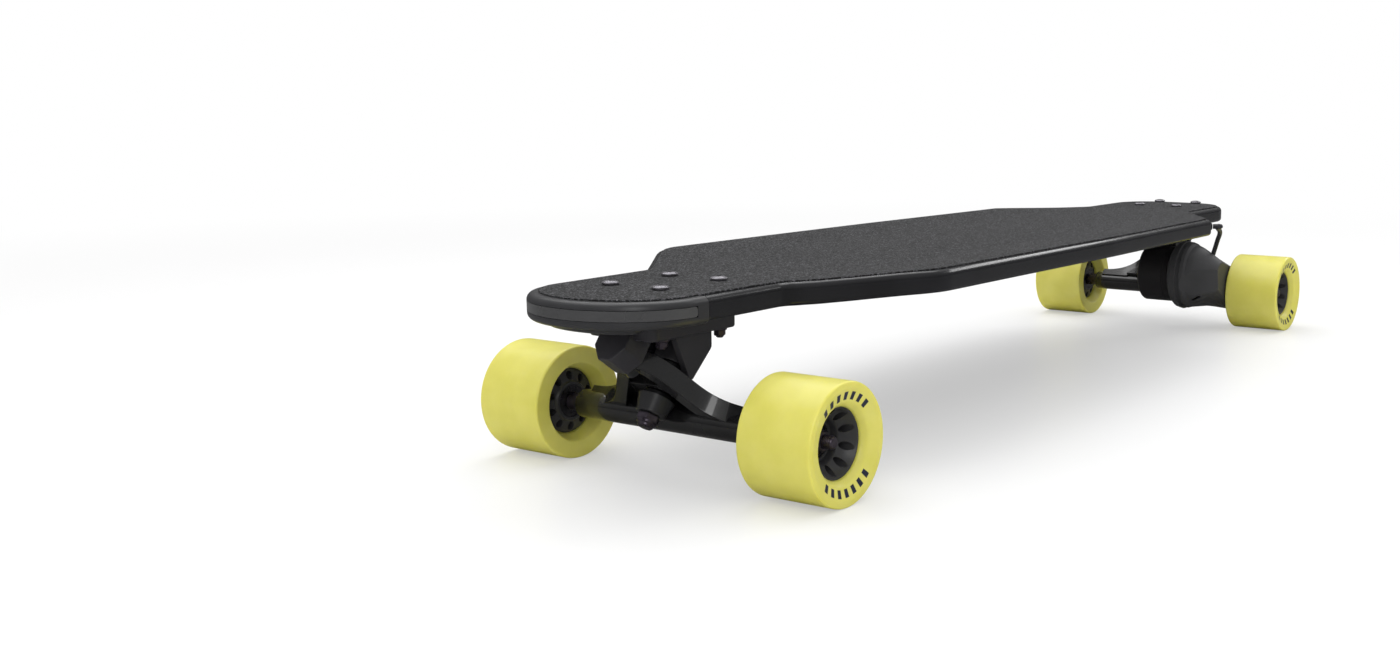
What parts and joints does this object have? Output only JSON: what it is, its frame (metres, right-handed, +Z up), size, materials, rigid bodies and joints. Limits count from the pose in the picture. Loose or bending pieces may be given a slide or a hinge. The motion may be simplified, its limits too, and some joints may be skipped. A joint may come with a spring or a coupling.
{
  "type": "electric skateboard",
  "caption": "Longboard with waisted ends, gripped deck, a light band round the nose, reverse-kingpin trucks, soft urethane wheels and a belt-driven motor on the rear truck.",
  "frame": {"origin": "on the ground, under the middle of the board's overall length and width", "axes": "+X towards the nose, +Y to the rider's left, +Z up"},
  "size_m": [0.9412, 0.2728, 0.1283],
  "materials": {
    "shell": "satin moulded composite",
    "grip": "fine grit paper",
    "cap": "satin moulded polymer",
    "band": "smoked diffuser",
    "battery": "shrink film over cells",
    "controller": "bare finned casting",
    "button": "satin",
    "port": "soft moulded",
    "bolt": "dark plated, socket head",
    "riser": "dense rubber sheet",
    "casting": "satin black coat",
    "gloss": "gloss black coat",
    "steel": "black oxide",
    "bushing": "cast urethane",
    "tyre": "cast urethane, satin",
    "core": "moulded, ten holes",
    "bearing": "ground steel with dark shields",
    "motor": "satin enamel",
    "rotor": "ground steel",
    "alloy": "machined",
    "belt": "toothed belt",
    "housing": "matte moulded polymer",
    "cable": "rubber sheath"
  },
  "bodies": {
    "board": {"deck": "shell", "grip_tape": "grip", "nose_cap": "cap", "light_band": "band", "bottom_cover": "shell", "battery_pack": "battery", "controller": "controller", "charge_port": "port", "deck_bolt_front_1": "bolt", "deck_bolt_front_2": "bolt", "deck_bolt_front_3": "bolt", "deck_bolt_front_4": "bolt", "deck_bolt_rear_1": "bolt", "deck_bolt_rear_2": "bolt", "deck_bolt_rear_3": "bolt", "deck_bolt_rear_4": "bolt", "riser_front": "riser", "baseplate_front": "casting", "cup_washer_front": "casting", "kingpin_front": "steel", "kingpin_nut_front": "steel", "bushing_board_front": "bushing", "bushing_road_front": "bushing", "pivot_cup_front": "bushing", "riser_rear": "riser", "baseplate_rear": "casting", "cup_washer_rear": "casting", "kingpin_rear": "steel", "kingpin_nut_rear": "steel", "bushing_board_rear": "bushing", "bushing_road_rear": "bushing", "pivot_cup_rear": "bushing", "motor_cable": "cable"},
    "front_hanger": {"hanger_front": "gloss", "axle_front": "steel", "axle_nut_front_left": "steel", "axle_nut_front_right": "steel"},
    "rear_hanger": {"hanger_rear": "gloss", "axle_rear": "steel", "axle_nut_rear_left": "steel", "axle_nut_rear_right": "steel", "motor_can": "motor", "motor_mount": "alloy", "belt_cover": "housing", "drive_belt": "belt"},
    "motor_shaft": {"motor_rotor": "rotor"},
    "power_button": {"power_button": "button"},
    "wheel_front_left": {"tyre_front_left": "tyre", "core_front_left": "core", "bearings_front_left": "bearing"},
    "wheel_front_right": {"tyre_front_right": "tyre", "core_front_right": "core", "bearings_front_right": "bearing"},
    "wheel_rear_left": {"tyre_rear_left": "tyre", "core_rear_left": "core", "bearings_rear_left": "bearing", "wheel_pulley": "alloy"},
    "wheel_rear_right": {"tyre_rear_right": "tyre", "core_rear_right": "core", "bearings_rear_right": "bearing"}
  },
  "joints": [
    {"name": "front_steer", "type": "hinge", "parent": "board", "child": "front_hanger", "pos_m": [0.3866, 0, 0.058], "axis": [0.809, 0, 0.5878], "range_deg": [-12, 12], "stiffness_Nm_per_rad": 60, "deforming": ["bushing_board_front", "bushing_road_front"]},
    {"name": "rear_steer", "type": "hinge", "parent": "board", "child": "rear_hanger", "pos_m": [-0.421, 0, 0.058], "axis": [-0.809, 0, 0.5878], "range_deg": [-12, 12], "stiffness_Nm_per_rad": 60, "deforming": ["bushing_board_rear", "bushing_road_rear", "motor_cable"]},
    {"name": "wheel_front_left_spin", "type": "hinge", "parent": "front_hanger", "child": "wheel_front_left", "pos_m": [0.3766, 0.1096, 0.038], "axis": [0, 1, 0], "continuous": true},
    {"name": "wheel_front_right_spin", "type": "hinge", "parent": "front_hanger", "child": "wheel_front_right", "pos_m": [0.3766, -0.1096, 0.038], "axis": [0, 1, 0], "continuous": true},
    {"name": "wheel_rear_left_spin", "type": "hinge", "parent": "rear_hanger", "child": "wheel_rear_left", "pos_m": [-0.411, 0.1096, 0.038], "axis": [0, 1, 0], "continuous": true},
    {"name": "wheel_rear_right_spin", "type": "hinge", "parent": "rear_hanger", "child": "wheel_rear_right", "pos_m": [-0.411, -0.1096, 0.038], "axis": [0, 1, 0], "continuous": true},
    {"name": "motor_spin", "type": "hinge", "parent": "rear_hanger", "child": "motor_shaft", "pos_m": [-0.366, 0.02, 0.0564], "axis": [0, 1, 0], "continuous": true},
    {"name": "power_button_press", "type": "slide", "parent": "board", "child": "power_button", "axis": [0, 0, 1], "range_m": [0, 0.001], "stiffness_N_per_m": 600}
  ],
  "couplings": [
    {"joint": "motor_spin", "follows": "wheel_rear_left_spin", "ratio": 2.6667}
  ]
}
